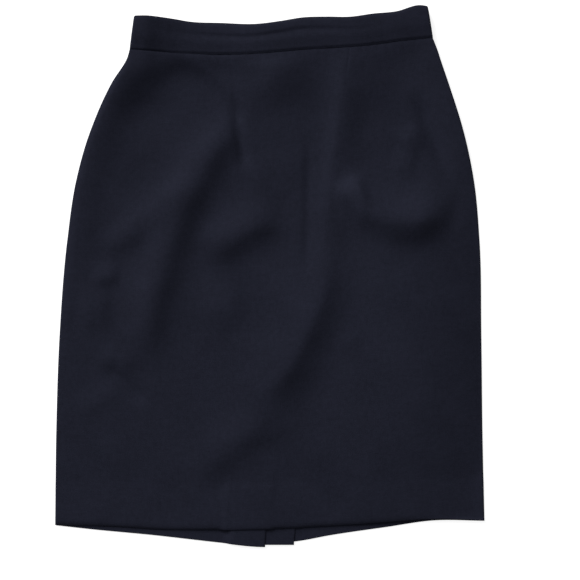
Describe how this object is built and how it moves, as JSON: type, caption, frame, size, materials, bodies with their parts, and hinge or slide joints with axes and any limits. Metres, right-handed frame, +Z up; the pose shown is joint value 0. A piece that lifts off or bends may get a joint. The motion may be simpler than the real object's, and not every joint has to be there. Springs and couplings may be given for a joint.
{
  "type": "pencil skirt",
  "caption": "Knee-length pencil skirt with a waistband, laid flat with its front side up and its hem showing the vent of the back.",
  "frame": {"origin": "middle of the base of the whole skirt, on the surface that it lies on", "axes": "+Z up, out of the front; +Y towards the waist; +X towards the wearer's left"},
  "size_m": [0.493, 0.6191, 0.0257],
  "materials": {
    "cloth": "navy wool crepe, matt with a faint sheen",
    "zip": "navy woven tape and nylon coil",
    "metal": "dull nickel"
  },
  "bodies": {
    "root": {"front_panel": "cloth", "back_left": "cloth", "back_right": "cloth", "vent_facing": "cloth", "waistband": "cloth", "zip_tape": "zip", "zip_slider": "metal", "waist_hook": "metal", "waist_bar": "metal"}
  },
  "joints": []
}
